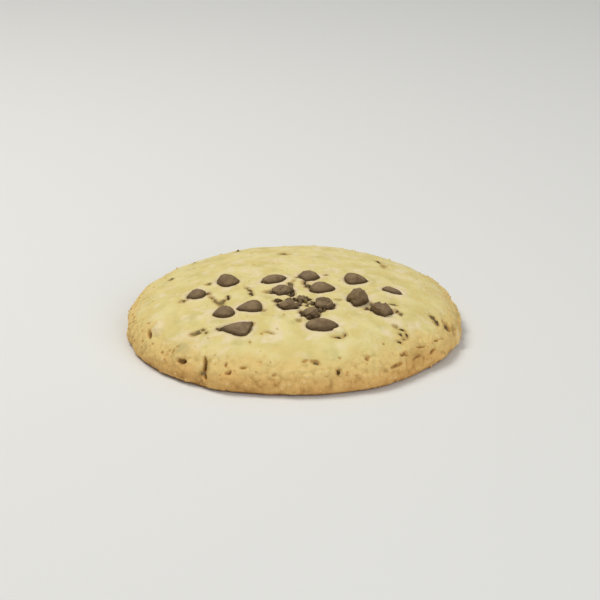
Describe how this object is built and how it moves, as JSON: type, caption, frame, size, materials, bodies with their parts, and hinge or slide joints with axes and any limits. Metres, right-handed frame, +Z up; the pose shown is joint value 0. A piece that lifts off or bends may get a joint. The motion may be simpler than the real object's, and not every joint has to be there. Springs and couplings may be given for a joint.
{
  "type": "chocolate chip cookie",
  "caption": "Round, low-domed baked cookie with a flat base and an uneven browned edge, its top studded with chocolate chips and broken chunks; a snack served flat on a plate.",
  "frame": {"origin": "middle of the flat base, at the centre of the outline's bounding box", "axes": "+Z up from the base through the domed top; +Y away from the side that is seen from the front; +X to its right"},
  "size_m": [0.1088, 0.1104, 0.0206],
  "materials": {
    "dough": "matte baked crumb, pale yellow on top and golden brown at the edge and underneath",
    "chocolate": "dull brown chocolate with a slight bloom"
  },
  "bodies": {
    "root": {"dough": "dough", "chip_01": "chocolate", "chip_02": "chocolate", "chip_03": "chocolate", "chip_04": "chocolate", "chip_05": "chocolate", "chip_06": "chocolate", "chip_07": "chocolate", "chip_08": "chocolate", "chip_09": "chocolate", "chip_10": "chocolate", "chip_11": "chocolate", "chunk_01": "chocolate", "chunk_02": "chocolate", "chunk_03": "chocolate", "chunk_04": "chocolate", "chunk_05": "chocolate", "chunk_06": "chocolate", "chunk_07": "chocolate"}
  },
  "joints": []
}
